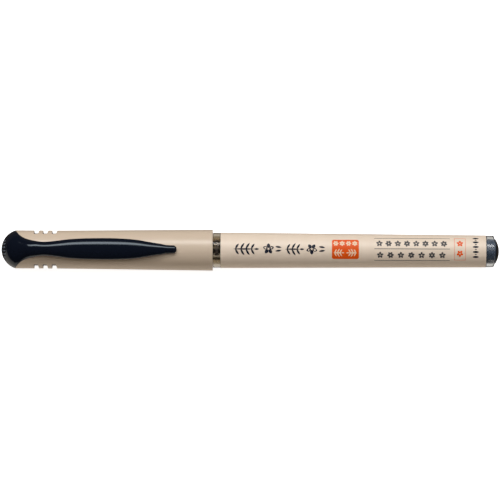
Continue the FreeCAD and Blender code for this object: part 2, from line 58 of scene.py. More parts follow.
MM = 0.001
WELD = 1e-8  # metres: points nearer than this are one point
SPIN_WELD = 1e-7  # metres: the same, where a spin closes on itself
NEARLY_ALL = (0.15, 0.85)  # the stretch of a noise pattern that holds nearly all of its values
PLASTIC_IOR = 1.49
WHITE = (1.0, 1.0, 1.0)
Point = tuple[float, float]
Colour = tuple[float, float, float]
Object = bpy.types.Object


# ---- finishes --------------------------------------------------------------------------------


class Grain(Enum):
    """A mould's texture, as cycles for each metre and depth in metres."""

    POLISHED = (900, 1.0e-6)
    SATIN = (3200, 2.2e-6)
    SPARK = (2400, 4.5e-6)


class NodeBoard:
    """A material's node tree, with short calls to add and join nodes."""

    def __init__(self, name: str) -> None:
        """Start an empty material.

        Args:
            name: The material's name.
        """
        self.material = bpy.data.materials.new(name)
        self.material.use_nodes = True
        self.tree = self.material.node_tree
        self.tree.nodes.clear()

    def add(
        self, kind: str, inputs: dict[str | int, object] | None = None, **settings: object
    ) -> bpy.types.Node:
        """Add a node.

        Args:
            kind: The node's type, without the ShaderNode prefix.
            inputs: Values or output sockets by input name or number.
            settings: Attributes of the node itself.

        Returns:
            The new node.
        """
        node = self.tree.nodes.new("ShaderNode" + kind)
        for key, value in settings.items():
            setattr(node, key, value)
        for key, value in (inputs or {}).items():
            socket = node.inputs[key]
            if isinstance(value, bpy.types.NodeSocket):
                self.tree.links.new(value, socket)
            else:
                socket.default_value = value
        return node

    def coordinates(self, scale: Sequence[float] = (1, 1, 1)) -> object:
        """Give object coordinates, stretched.

        Args:
            scale: Scale along each axis.

        Returns:
            A vector output socket.
        """
        place = self.add("TexCoord")
        mapped = self.add("Mapping", {"Vector": place.outputs["Object"], "Scale": scale})
        return mapped.outputs["Vector"]

    def noise(self, scale: float, detail: float = 3.0, vector: object | None = None) -> object:
        """Give a noise pattern.

        Args:
            scale: Cycles for each metre.
            detail: Octaves of finer noise.
            vector: Coordinates, or None for plain object coordinates.

        Returns:
            The pattern's value socket.
        """
        spot = vector or self.coordinates()
        return self.add("TexNoise", {"Vector": spot, "Scale": scale, "Detail": detail}).outputs["Fac"]

    def span(self, value: object, low: float, high: float, frm: Point = (0.3, 0.7)) -> object:
        """Map a pattern to a range.

        Args:
            value: The pattern's socket.
            low: Result at the bottom of the pattern.
            high: Result at the top of the pattern.
            frm: The stretch of the pattern that is used.

        Returns:
            The mapped value socket.
        """
        inputs = {0: value, 1: frm[0], 2: frm[1], 3: low, 4: high}
        return self.add("MapRange", inputs).outputs[0]

    def tint(self, fac: object, first: Colour, second: Colour) -> object:
        """Blend between two colours.

        Args:
            fac: The pattern's socket, from 0 to 1.
            first: Colour at 0.
            second: Colour at 1.

        Returns:
            The colour socket.
        """
        mix = self.add("Mix", data_type="RGBA")
        self.tree.links.new(fac, mix.inputs[0])
        mix.inputs[6].default_value = (*first, 1)
        mix.inputs[7].default_value = (*second, 1)
        return mix.outputs[2]

    def bump(
        self, height: object, distance: float, strength: float, under: object | None = None
    ) -> object:
        """Turn a height pattern into a normal.

        Args:
            height: The pattern's socket.
            distance: Depth in metres.
            strength: Share of the bump that shows.
            under: Normal of a coarser bump below this one.

        Returns:
            The normal socket.
        """
        inputs = {"Height": height, "Distance": distance, "Strength": strength}
        if under is not None:
            inputs["Normal"] = under
        return self.add("Bump", inputs).outputs["Normal"]

    def close(self, shader: object) -> bpy.types.Material:
        """Wire a shader to the output.

        Args:
            shader: The surface shader's socket.

        Returns:
            The finished material.
        """
        self.add("OutputMaterial", {"Surface": shader})
        return self.material


@dataclass(frozen=True)
class Finish:
    """A finish in two tones. Its material is built once and then shared."""

    name: str
    colour: Colour
    shade: Colour

    def material(self) -> bpy.types.Material:
        """Give the finish's material.

        Returns:
            The material, built on the first call.
        """
        if self.name in bpy.data.materials:
            return bpy.data.materials[self.name]
        board = NodeBoard(self.name)
        return board.close(self.surface(board))

    def surface(self, board: NodeBoard) -> object:
        """Lay out the surface's shader on an empty board and give its socket."""
        raise NotImplementedError


@dataclass(frozen=True)
class Moulded(Finish):
    """Opaque moulded plastic, with flow mottling, a fine mould texture and worn gloss."""

    roughness: float = 0.35
    specular: float = 0.5
    grain: Grain = Grain.SATIN
    coat: float = 0.0
    glint: Colour = WHITE

    def surface(self, board: NodeBoard) -> object:
        """Lay out mottled colour, uneven gloss, and a fine texture over soft waves.

        Args:
            board: The empty material.

        Returns:
            The shader's socket.
        """
        flow = board.noise(160, 4, board.coordinates((0.25, 1, 1)))
        colour = board.tint(board.span(flow, 0, 1, NEARLY_ALL), self.colour, self.shade)
        scale, depth = self.grain.value
        waves = board.bump(board.noise(220, 2), 9.0e-6, 0.35)
        normal = board.bump(board.noise(scale, 3), depth, 0.8, waves)
        wear = board.noise(420, 4)
        rough = board.span(wear, self.roughness * 0.88, self.roughness * 1.14, NEARLY_ALL)
        inputs = {
            "Base Color": colour,
            "Roughness": rough,
            "Normal": normal,
            "Specular IOR Level": self.specular,
            "IOR": PLASTIC_IOR,
            "Specular Tint": (*self.glint, 1),
            "Coat Weight": self.coat,
            "Coat Roughness": 0.12,
        }
        return board.add("BsdfPrincipled", inputs).outputs[0]


@dataclass(frozen=True)
class ClearPlastic(Finish):
    """Clear moulding that bends the light, with faint flow lines, and a deeper tan tint in front that is
    painted reflection of the label in the front window.
    """

    roughness: float = 0.03
    gloss: float = 0.5
    edge: float = -0.003
    fade: float = 0.004

    def surface(self, board: NodeBoard) -> object:
        """Lay out glass that lets the light of a shadow ray straight through.

        Args:
            board: The empty material.

        Returns:
            The shader's socket.
        """
        flow = board.noise(300, 3, board.coordinates((0.3, 1, 1)))
        normal = board.bump(flow, 1.0e-6, 0.1)
        # Painted reflection: towards the front the tint deepens to the second tone, the label's tan as seen
        # in the window.
        place = board.add("SeparateXYZ", {0: board.coordinates()})
        front = board.span(place.outputs["X"], 1.0, 0.0, (self.edge, self.edge + self.fade))
        colour = board.tint(front, self.colour, self.shade)
        rough = board.span(board.noise(700, 3), self.roughness * 0.6, self.roughness * 1.4)
        glint = self.gloss * 2
        inputs = {
            "Base Color": colour,
            "Roughness": rough,
            "Normal": normal,
            "Transmission Weight": 1.0,
            "IOR": PLASTIC_IOR,
            "Specular IOR Level": self.gloss,
            "Specular Tint": (glint, glint, glint, 1),
        }
        glass = board.add("BsdfPrincipled", inputs)
        open_way = board.add("BsdfTransparent", {"Color": (*self.colour, 1)})
        share = board.add("LightPath").outputs["Is Shadow Ray"]
        return board.add("MixShader", {0: share, 1: glass.outputs[0], 2: open_way.outputs[0]}).outputs[0]


@dataclass(frozen=True)
class PrintedFilm(Finish):
    """Satin film with an even printed ground, faint rolling marks along it and a soft tooth."""

    roughness: float = 0.42

    def surface(self, board: NodeBoard) -> object:
        """Lay out the ground, its rolling marks and its tooth.

        Args:
            board: The empty material.

        Returns:
            The shader's socket.
        """
        bands = board.noise(90, 3, board.coordinates((6.0, 0.6, 0.6)))
        colour = board.tint(board.span(bands, 0, 1, (0.35, 0.65)), self.colour, self.shade)
        tooth = board.noise(6200, 3)
        wave = board.bump(board.noise(260, 2), 7.0e-6, 0.35)
        normal = board.bump(tooth, 1.6e-6, 0.7, wave)
        rough = board.span(board.noise(1500, 3), self.roughness * 0.9, self.roughness * 1.12)
        inputs = {
            "Base Color": colour,
            "Roughness": rough,
            "Normal": normal,
            "Specular IOR Level": 0.5,
            "IOR": 1.47,
        }
        return board.add("BsdfPrincipled", inputs).outputs[0]


@dataclass(frozen=True)
class PressedInk(Finish):
    """Printing ink: flat colour, with specks of the second tone where the film's tooth shows."""

    roughness: float = 0.45
    metal: float = 0.0

    def surface(self, board: NodeBoard) -> object:
        """Lay out the ink and its specks.

        Args:
            board: The empty material.

        Returns:
            The shader's socket.
        """
        tooth = board.noise(7000, 2)
        colour = board.tint(board.span(tooth, 0, 1, (0.62, 0.72)), self.colour, self.shade)
        inputs = {
            "Base Color": colour,
            "Roughness": self.roughness,
            "Normal": board.bump(tooth, 2.0e-6, 0.5),
            "Metallic": self.metal,
            "Specular IOR Level": 0.28,
        }
        return board.add("BsdfPrincipled", inputs).outputs[0]


@dataclass(frozen=True)
class Felt(Finish):
    """Bonded fibres that run along the pen, frayed and uneven in tone."""

    def surface(self, board: NodeBoard) -> object:
        """Lay out the fibres and their fuzz.

        Args:
            board: The empty material.

        Returns:
            The shader's socket.
        """
        fibres = board.noise(9000, 4, board.coordinates((0.06, 1, 1)))
        inputs = {
            "Base Color": board.tint(board.span(fibres, 0, 1), self.shade, self.colour),
            "Roughness": 0.85,
            "Normal": board.bump(fibres, 2.5e-5, 0.8),
            "Sheen Weight": 0.35,
            "Sheen Roughness": 0.5,
        }
        return board.add("BsdfPrincipled", inputs).outputs[0]


BEIGE = Moulded("beige_moulding", (0.65, 0.523, 0.402), (0.63, 0.505, 0.384), 0.30, 0.55)
NAVY = Moulded(
    "navy_moulding", (0.0042, 0.0062, 0.0125), (0.0054, 0.0076, 0.0150), 0.10, 0.38, Grain.POLISHED,
    glint=(0.80, 0.92, 1.0),
)
# Painted haze: the plug's navy is lighter than the dome's, standing in for light scattered in the clear tube
# round it.
PLUG_NAVY_PAINTED_HAZE = Moulded(
    "navy_plug_painted_haze", (0.020, 0.029, 0.046), (0.034, 0.046, 0.068), 0.42, 0.4, Grain.SPARK
)
BLACK = Moulded("black_moulding", (0.006, 0.006, 0.0075), (0.012, 0.012, 0.014), 0.28, 0.5, Grain.POLISHED)
LINER = Moulded("liner_moulding", (0.075, 0.058, 0.045), (0.06, 0.045, 0.035), 0.4, 0.4)
# Painted glint: pale grey on the collector's rail, standing in for the white line of light along its lip.
RAIL_PAINTED_GLINT = Moulded(
    "rail_painted_glint", (0.50, 0.51, 0.56), (0.56, 0.57, 0.60), 0.2, 0.6, Grain.POLISHED
)
# Painted highlight: a grey copy of the black moulding, for the lit band on the collector's neck.
BAND_PAINTED_HIGHLIGHT = Moulded("band_painted_highlight", (0.060, 0.060, 0.078), (0.075, 0.075, 0.095), 0.3, 0.5)
# CLEAR's second tone is the painted tan reflection of the label in the front window.
CLEAR = ClearPlastic("clear_moulding", (0.97, 0.975, 0.97), (0.70, 0.62, 0.50), 0.05, 0.22)
SMOKE = ClearPlastic("smoky_moulding", (0.88, 0.85, 0.80), (0.84, 0.81, 0.76), 0.05, 0.12)
FILM = PrintedFilm("label_film", (0.81, 0.675, 0.545), (0.795, 0.66, 0.53))
NAVY_INK = PressedInk("navy_print", (0.006, 0.008, 0.020), (0.02, 0.022, 0.035))
GREY_INK = PressedInk("grey_print", (0.075, 0.07, 0.068), (0.16, 0.14, 0.13))
SEAL_INK = PressedInk("orange_print", (0.77, 0.090, 0.0035), (0.80, 0.13, 0.012))
PALE_INK = PressedInk("pale_print", (0.86, 0.62, 0.43), (0.82, 0.50, 0.31))
SILVER_INK = PressedInk("silver_print", (0.30, 0.36, 0.45), (0.10, 0.13, 0.18), 0.4, 0.4)
WHITE_FELT = Felt("brush_felt", (0.72, 0.70, 0.66), (0.52, 0.50, 0.47))
WICK = Felt("wick_fibre", (0.05, 0.05, 0.055), (0.025, 0.025, 0.03))
LIQUID = Moulded("liquid_ink", (0.003, 0.003, 0.004), (0.004, 0.004, 0.005), 0.06, 0.5, Grain.POLISHED, 0.5)


# ---- shaping ---------------------------------------------------------------------------------


@dataclass(frozen=True)
class Axis:
    """The pen's axis: where it starts and how high it lies. Places on it are in millimetres."""

    start: float
    height: float

    @classmethod
    def from_frame(cls) -> "Axis":
        """Read the axis from the crown's and the shell's boxes.

        Returns:
            The axis.
        """
        crown_low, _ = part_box("crown")
        shell_low, shell_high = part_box("cap_shell")
        return cls(crown_low.x, (shell_low.z + shell_high.z) / 2)

    def at(self, s: float, y: float = 0.0, z: float = 0.0) -> Vector:
        """Give the frame point for s along the pen, y across and z above the axis, in mm."""
        return Vector((self.start + s * MM, y * MM, self.height + z * MM))

    def along(self, x: float) -> float:
        """Give the place along the pen, in mm, of a frame x in metres."""
        return (x - self.start) / MM


@dataclass(frozen=True)
class Rail:
    """A smooth line through a few points, without overshoot."""

    points: tuple[Point, ...]

    def slopes(self) -> list[float]:
        """Find the slope at each point, level where the line turns back.

        Returns:
            The slopes.
        """
        pts = self.points
        steps = [(b[1] - a[1]) / (b[0] - a[0]) for a, b in zip(pts, pts[1:])]
        inner = [0.0 if a * b <= 0 else 2 * a * b / (a + b) for a, b in zip(steps, steps[1:])]
        return [steps[0], *inner, steps[-1]]

    def __call__(self, x: float) -> float:
        """Find the line's value, held level beyond its ends.

        Args:
            x: Place along the line.

        Returns:
            The value.
        """
        pts = self.points
        if x <= pts[0][0]:
            return pts[0][1]
        if x >= pts[-1][0]:
            return pts[-1][1]
        slopes = self.slopes()
        k = max(i for i in range(len(pts) - 1) if pts[i][0] <= x)
        (x0, y0), (x1, y1) = pts[k], pts[k + 1]
        h = x1 - x0
        t = (x - x0) / h
        rise = (3 - 2 * t) * t * t
        return (
            y0 * (1 - rise)
            + y1 * rise
            + h * slopes[k] * t * (1 - t) ** 2
            - h * slopes[k + 1] * t * t * (1 - t)
        )


def smooth(t: float) -> float:
    """Ease from 0 to 1, held at both ends."""
    t = min(max(t, 0.0), 1.0)
    return t * t * (3 - 2 * t)


def share_between(x: float, low: float, high: float) -> float:
    """Share of the way from low to high, held at both ends."""
    return min(max((x - low) / (high - low), 0.0), 1.0)


def ease(x: float, low: float, high: float) -> float:
    """Ease from 0 at low to 1 at high, held beyond them."""
    return smooth(share_between(x, low, high))


def grown_verts(grown: Iterable[object]) -> list[bmesh.types.BMVert]:
    """Pick the new points out of what an extrusion gives back."""
    return [v for v in grown if isinstance(v, bmesh.types.BMVert)]


def add_to_scene(name: str, data: bpy.types.ID) -> Object:
    """Make an object of a mesh, a light or a camera, and link it to the scene.

    Args:
        name: The object's name.
        data: What it shows.

    Returns:
        The object.
    """
    made = bpy.data.objects.new(name, data)
    bpy.context.scene.collection.objects.link(made)
    return made


class Workshop:
    """Turns, lofts, cuts and finishes meshes on the pen's axis."""

    def __init__(self, axis: Axis) -> None:
        """Keep the axis.

        Args:
            axis: The pen's axis.
        """
        self.axis = axis

    def keep(self, bm: bmesh.types.BMesh, name: str, sharp: float = 32.0) -> Object:
        """Make an object of a bmesh, smooth except over sharp edges.

        Args:
            bm: The finished mesh, which is freed.
            name: The object's name.
            sharp: Edges that turn by more degrees than this stay crisp.

        Returns:
            The new object.
        """
        bmesh.ops.remove_doubles(bm, verts=bm.verts, dist=WELD)
        bmesh.ops.recalc_face_normals(bm, faces=bm.faces)
        mesh = bpy.data.meshes.new(name)
        bm.to_mesh(mesh)
        bm.free()
        self.smooth_faces(mesh, sharp)
        return add_to_scene(name, mesh)

    @staticmethod
    def smooth_faces(mesh: bpy.types.Mesh, sharp: float) -> None:
        """Shade a mesh smooth, with its edges sharper than the angle in degrees left crisp."""
        mesh.shade_smooth()
        mesh.set_sharp_from_angle(angle=math.radians(sharp))

    def profile(
        self, bm: bmesh.types.BMesh, steps: Sequence[Point], rounds: dict[int, float]
    ) -> list[object]:
        """Draw a closed profile beside the axis and round some of its corners.

        Args:
            bm: The mesh to draw in.
            steps: Corners as (s, radius) in mm.
            rounds: Corner number to rounding in mm.

        Returns:
            The profile's vertices and edges.
        """
        verts = [bm.verts.new(self.axis.at(s, 0, r)) for s, r in steps]
        bm.faces.new(verts)
        for number, radius in rounds.items():
            bmesh.ops.bevel(
                bm, geom=[verts[number]], offset=radius * MM, offset_type="OFFSET", segments=4,
                profile=0.5, affect="VERTICES", material=-1, clamp_overlap=True,
            )
        bmesh.ops.delete(bm, geom=list(bm.faces), context="FACES_ONLY")
        return [*bm.verts, *bm.edges]

    def spin(self, bm: bmesh.types.BMesh, geom: list[object], steps: int = 128) -> None:
        """Spin a profile all the way round the axis.

        Args:
            bm: The mesh that holds it.
            geom: The profile's vertices and edges.
            steps: Facets round the axis.
        """
        bmesh.ops.spin(
            bm, geom=geom, cent=self.axis.at(0), axis=(1, 0, 0), dvec=(0, 0, 0), angle=math.tau,
            steps=steps, use_merge=True, use_normal_flip=False, use_duplicate=False,
        )
        bmesh.ops.remove_doubles(bm, verts=bm.verts, dist=SPIN_WELD)

    def turned(
        self, name: str, steps: Sequence[Point], rounds: dict[int, float] | None = None, facets: int = 128
    ) -> Object:
        """Make a turned piece from a closed profile.

        Args:
            name: The object's name.
            steps: Profile corners as (s, radius) in mm.
            rounds: Corner number to rounding in mm.
            facets: Facets round the axis.

        Returns:
            The piece.
        """
        bm = bmesh.new()
        self.spin(bm, self.profile(bm, steps, rounds or {}), facets)
        flat = [e for e in bm.edges if e.calc_length() < WELD / 10]
        bmesh.ops.dissolve_degenerate(bm, dist=WELD, edges=flat or list(bm.edges))
        return self.keep(bm, name)

    def lofted(
        self, name: str, stations: Sequence[float], shape: Callable[[float, float], Vector], around: int = 64
    ) -> Object:
        """Make a closed piece by pulling a ring along the pen and shaping it at each station.

        Args:
            name: The object's name.
            stations: Station values, handed to shape.
            shape: Gives the point of a station at an angle in radians, in mm (s, y, z).
            around: Points in the ring.

        Returns:
            The piece.
        """
        bm = bmesh.new()
        bmesh.ops.create_circle(bm, cap_ends=False, segments=around, radius=1.0)
        ring = list(bm.verts)
        first = ring
        for number, station in enumerate(stations):
            if number:
                edges = [e for e in bm.edges if e.verts[0] in ring and e.verts[1] in ring]
                fresh = grown_verts(bmesh.ops.extrude_edge_only(bm, edges=edges)["geom"])
                above = {}
                for vert in fresh:
                    below = next(e.other_vert(vert) for e in vert.link_edges if e.other_vert(vert) in ring)
                    above[below] = vert
                ring = [above[v] for v in ring]
            for k, vert in enumerate(ring):
                point = shape(station, math.tau * k / around)
                vert.co = self.axis.at(point.x, point.y, point.z)
        for end in (first, ring):
            bmesh.ops.pointmerge(bm, verts=end, merge_co=sum((v.co for v in end), Vector()) / len(end))
        return self.keep(bm, name)

    def prism(self, name: str, edge: Sequence[Point], low: float, high: float) -> Object:
        """Make an upright prism over an outline seen from above.

        Args:
            name: The object's name.
            edge: Outline as (s, y) in mm.
            low: Bottom above the axis, in mm.
            high: Top above the axis, in mm.

        Returns:
            The prism.
        """
        bm = bmesh.new()
        verts = [bm.verts.new(self.axis.at(s, y, low)) for s, y in edge]
        floor = bm.faces.new(verts)
        lifted = grown_verts(bmesh.ops.extrude_face_region(bm, geom=[floor])["geom"])
        bmesh.ops.translate(bm, verts=lifted, vec=(0, 0, (high - low) * MM))
        return self.keep(bm, name)

    def cut(self, piece: Object, cutters: Iterable[Object]) -> None:
        """Cut pieces out of a piece for good.

        Args:
            piece: What is cut.
            cutters: What cuts it; they are removed.
        """
        tools = list(cutters)
        for tool in tools:
            change = piece.modifiers.new("cut", "BOOLEAN")
            change.operation = "DIFFERENCE"
            change.solver = "EXACT"
            change.object = tool
        self.settle(piece)
        for tool in tools:
            bpy.data.objects.remove(tool)

    def settle(self, piece: Object, sharp: float = 32.0) -> None:
        """Apply a piece's modifiers to its mesh.

        Args:
            piece: The piece.
            sharp: Edges that turn by more degrees than this stay crisp.
        """
        graph = bpy.context.evaluated_depsgraph_get()
        mesh = bpy.data.meshes.new_from_object(piece.evaluated_get(graph))
        piece.modifiers.clear()
        piece.data = mesh
        self.smooth_faces(mesh, sharp)

    @staticmethod
    def soften(piece: Object, width: float, angle: float = 38.0, segments: int = 2) -> None:
        """Round a piece's sharp edges.

        Args:
            piece: The piece.
            width: Rounding in mm.
            angle: Edges that turn by more degrees than this are rounded.
            segments: Facets across each rounding.
        """
        bevel = piece.modifiers.new("soften", "BEVEL")
        bevel.width = width * MM
        bevel.segments = segments
        bevel.limit_method = "ANGLE"
        bevel.angle_limit = math.radians(angle)
        bevel.harden_normals = True

    def dress(
        self, piece: Object, finish: Finish, body: str, slot: str | None = None, *nodes: str,
        bend: tuple[str, float, float, float] | None = None,
    ) -> Object:
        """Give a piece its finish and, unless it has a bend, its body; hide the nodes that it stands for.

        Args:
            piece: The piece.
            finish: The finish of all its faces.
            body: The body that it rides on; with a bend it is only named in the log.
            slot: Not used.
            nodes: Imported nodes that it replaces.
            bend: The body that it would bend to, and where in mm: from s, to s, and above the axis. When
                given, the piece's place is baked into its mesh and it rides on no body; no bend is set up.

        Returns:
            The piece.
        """
        piece.data.materials.clear()
        piece.data.materials.append(finish.material())
        if bend:
            other, low, high, up = bend
            start, end = self.axis.at(low, 0, up), self.axis.at(high, 0, up)
            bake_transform(piece)
        else:
            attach(piece, body)
        if nodes:
            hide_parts(*nodes)
        way = f"bends from {body} to {bend[0]}" if bend else f"rides on {body}"
        log.info("%s: %d faces, %s", piece.name, len(piece.data.polygons), way)
        return piece


# ---- cap -------------------------------------------------------------------------------------


class Zone(Enum):
    """Which part of the crown and clip a ring belongs to, and what its value means."""

    DOME = "depth from the end"
    SECTION = "place along the pen"
    NUB = "angle round the end"


@dataclass
class Cap:
    """The cap: beige shell with slotted flanks, and the navy crown that runs into the clip."""

    shop: Workshop
    end_radius: float = 5.44
    mouth_radius: float = 5.85
    bore: float = 4.80
    end_bore: float = 4.64
    dome: float = 4.0
    straight: float = 13.0
    slot_first: float = 5.35
    slot_pitch: float = 2.57
    slot_width: float = 1.15
    slot_slant: float = 0.35
    slot_floor: float = 4.34
    hood_end: float = 8.6
    hood_inside: float = 4.95
    proud: float = 0.16
    flatness: float = 0.42
    blade_step: float = 0.42
    nub: float = 49.05
    clip_end: float = 50.15
    half_width: Rail = Rail((
        (4.0, 5.44), (5.4, 3.96), (6.9, 3.06), (8.8, 2.50), (12.4, 1.97), (16.0, 2.26), (20.0, 2.74),
        (25.0, 2.99), (29.8, 3.05), (34.5, 2.94), (38.4, 2.66), (42.0, 2.09), (44.0, 1.76), (45.7, 1.50),
        (46.9, 1.23), (48.0, 1.14), (49.2, 1.12),
    ))
    back: Rail = Rail((
        (4.0, 5.44), (5.6, 6.12), (8.0, 7.02), (11.0, 7.66), (16.0, 8.24), (26.0, 8.58), (35.0, 8.50),
        (40.5, 8.20), (43.8, 7.72), (46.2, 7.14), (47.2, 7.03), (48.6, 7.08), (49.4, 6.98),
    ))
    crown_height: Rail = Rail((
        (4.0, 5.44), (5.0, 3.10), (6.4, 2.25), (8.6, 1.98), (11.0, 1.42), (14.0, 1.28), (29.0, 1.42),
        (38.0, 1.30), (43.0, 1.05), (46.2, 0.78), (49.0, 0.70),
    ))
    belly: Rail = Rail((
        (8.6, 4.95), (9.6, 5.62), (11.2, 6.05), (13.6, 6.62), (16.0, 6.72), (41.0, 6.72), (43.6, 6.62),
        (45.8, 6.16), (47.6, 5.86), (48.6, 5.82), (49.8, 6.02),
    ))

    @staticmethod
    def above_axis(radius: float, y: float) -> float:
        """Height of a circle round the axis at y across it."""
        return math.sqrt(max(radius**2 - y * y, 0.0))

    @property
    def dome_sphere(self) -> float:
        """Radius of the sphere that the crown's dome is part of."""
        return (self.end_radius**2 + self.dome**2) / (2 * self.dome)

    @property
    def mouth(self) -> float:
        """Place of the shell's mouth along the pen."""
        return self.shop.axis.along(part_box("cap_shell")[1].x)

    def build(self) -> list[Object]:
        """Make all the cap's pieces.

        Returns:
            The pieces.
        """
        return [self.shell(), self.crown_and_clip(), self.spigot(), *self.emblem()]

    def shell(self) -> Object:
        """Turn the shell, cut its slots and the hood's seat, and round the edges.

        Returns:
            The shell.
        """
        mouth = self.mouth
        straight = self.dome + self.straight
        steps = [
            (self.dome, self.end_bore),
            (self.dome, self.end_radius),
            (straight, self.end_radius),
            (mouth, self.mouth_radius),
            (mouth, self.bore),
            (mouth - 2.2, self.bore),
            (mouth - 2.5, self.bore - 0.11),
            (mouth - 3.3, self.bore - 0.11),
            (mouth - 3.6, self.bore),
            (40.9, self.bore),
            (19.0, 4.30),
            (17.5, 4.30),
            (17.5, self.end_bore),
        ]
        shell = self.shop.turned("cap_shell_beige", steps, {3: 0.16, 4: 0.2}, 160)
        cutters = [self.slot_cutter(k, side) for k in range(3) for side in (-1, 1)]
        cutters.append(self.shop.prism("hood_seat", self.hood_outline(), 0.0, 12.0))
        self.shop.cut(shell, cutters)
        self.shop.soften(shell, 0.09)
        return self.shop.dress(shell, BEIGE, "cap", "beige", "cap_shell")

    def slot_cutter(self, number: int, side: int) -> Object:
        """Block that cuts one slot across a flank: one steep wall and one slanted wall.

        Args:
            number: Which slot, counted from the crown.
            side: 1 for the +Y flank, -1 for the other.

        Returns:
            The cutter.
        """
        start = self.dome + self.slot_first + number * self.slot_pitch
        reach = 8.0
        slant = self.slot_slant / (self.end_radius - self.slot_floor) * (reach - self.slot_floor)
        edge = [
            (start, side * self.slot_floor),
            (start + self.slot_width, side * self.slot_floor),
            (start + self.slot_width + slant, side * reach),
            (start, side * reach),
        ]
        return self.shop.prism(f"slot_{number}_{side}", edge, -8.0, 8.0)

    def hood_outline(self) -> list[Point]:
        """Outline of the hood's seat in the shell, seen from above.

        Returns:
            Corners as (s, y) in mm.
        """
        stations = [self.dome - 0.4, self.dome] + [self.dome + 0.23 * k for k in range(1, 21)]
        right = [(s, self.half_width(s) - 0.04) for s in stations]
        return right + [(s, -y) for s, y in reversed(right)]

    def crown_and_clip(self) -> Object:
        """Pull the crown's dome out into the hood and the clip, as one moulding.

        Returns:
            The moulding.
        """
        sphere = self.dome_sphere
        rings = [(Zone.DOME, self.dome * (1 - math.cos(math.pi / 2 * k / 22))) for k in range(1, 23)]
        places = [self.dome + 0.0001] + [self.dome + 0.2 * k for k in range(1, 24)]
        blade = [self.hood_end + self.blade_step * k for k in range(1, 97)]
        places += [s for s in blade if s < self.nub]
        nub = [(Zone.NUB, math.pi / 2 * k / 9) for k in range(1, 9)]
        stations = rings + [(Zone.SECTION, s) for s in places] + nub
        nub_middle = (self.back(self.nub) + self.belly(self.nub)) / 2

        def shape(number: float, angle: float) -> Vector:
            """Point of a station's ring.

            Args:
                number: Which station.
                angle: Angle round the ring, 0 at the top.

            Returns:
                The point (s, y, z) in mm.
            """
            zone, value = stations[int(number)]
            if zone is Zone.DOME:
                radius = math.sqrt(max(2 * sphere * value - value * value, 0.0))
                return Vector((value, radius * math.sin(angle), radius * math.cos(angle)))
            if zone is Zone.SECTION:
                return self.section(value, angle)
            s = self.nub + (self.clip_end - self.nub) * math.sin(value)
            inner = self.section(self.nub, angle)
            middle = nub_middle - 0.1 * math.sin(value)
            keep = math.cos(value)
            return Vector((s, inner.y * keep, middle + (inner.z - middle) * keep))

        piece = self.shop.lofted("crown_clip", range(len(stations)), shape, 72)
        bend = ("clip", 8.6, 14.4, 6.3)
        return self.shop.dress(piece, NAVY, "cap", "navy", "crown", "clip_arm", bend=bend)

    def section(self, s: float, angle: float) -> Vector:
        """Point of the hood's or the clip's section.

        Args:
            s: Place along the pen, in mm.
            angle: Angle round the section, 0 at the top.

        Returns:
            The point (s, y, z) in mm.
        """
        width, top, height = self.half_width(s), self.back(s), self.crown_height(s)
        across, up = math.sin(angle), math.cos(angle)
        y = width * across
        # The upper side goes from a roof that follows the cap to the clip's rounded back.
        bulge = max(up, 0.0) ** (1.0 + 0.4 * ease(s, 8.0, 14.0))
        back = Vector((s, y, top - height + height * bulge))
        proud = self.proud * ease(s, self.dome, self.dome + 1.2)
        roof = self.above_axis(self.end_radius, y) + proud
        roof += (top - self.end_radius - proud) * max(up, 0.0) ** 2
        share = ease(s, 4.8, 10.2)
        if up >= -1e-9:
            return Vector((s, y, roof)).lerp(back, share)
        # The underside is flatter than a round one, and reaches into the cap's seat at the hood.
        seat = self.above_axis(self.end_radius, width) + proud
        edge = seat + (top - height - seat) * share
        side = width * math.copysign(abs(across) ** self.flatness, across)
        under = Vector((s, side, edge - (edge - self.belly(s)) * abs(up) ** self.flatness))
        if s >= 9.8:
            return under
        inner = min(width, self.hood_inside) * across * 0.96
        drop = smooth(abs(up) * 3.0)
        floor = self.above_axis(self.hood_inside, inner)
        deep = Vector((s, y * (1 - drop) + inner * drop, edge * (1 - drop) + floor * drop))
        return deep.lerp(under, ease(s, 8.5, 9.8))

    def spigot(self) -> Object:
        """Turn the crown's hollow spigot, which shows behind the first slots.

        Returns:
            The spigot.
        """
        front, end = self.dome - 0.6, 11.3
        steps = [(front, 3.4), (front, 4.5), (self.dome, 4.62), (end, 4.62), (end, 3.4)]
        return self.shop.dress(self.shop.turned("crown_spigot", steps, None, 96), NAVY, "cap")

    def emblem(self) -> list[Object]:
        """Rings of silver dots printed on the crown's end, clear of its two sides.

        Returns:
            The print.
        """
        bm = bmesh.new()
        sphere = self.dome_sphere
        for count, radius, size in ((22, 3.42, 0.20), (18, 2.84, 0.18), (14, 2.22, 0.18), (10, 1.58, 0.15)):
            for k in range(count):
                turn = math.tau * (k + 0.5) / count
                if abs(radius * math.sin(turn)) > 2.3:
                    continue
                dot = bmesh.ops.create_circle(bm, cap_ends=True, segments=8, radius=size)["verts"]
                centre = Vector((radius * math.cos(turn), radius * math.sin(turn), 0))
                bmesh.ops.translate(bm, verts=dot, vec=centre)
        for face in list(bm.faces):
            if face.normal.z < 0:
                face.normal_flip()
        bmesh.ops.solidify(bm, geom=list(bm.faces), thickness=0.012)
        for vert in bm.verts:
            y, z, lift = vert.co.y, vert.co.x, vert.co.z
            depth = sphere - math.sqrt(sphere**2 - y * y - z * z)
            vert.co = self.shop.axis.at(depth - 0.010 - lift, y, z)
        dots = self.shop.keep(bm, "crown_print")
        return [self.shop.dress(dots, SILVER_INK, "cap")]


# ---- barrel ----------------------------------------------------------------------------------


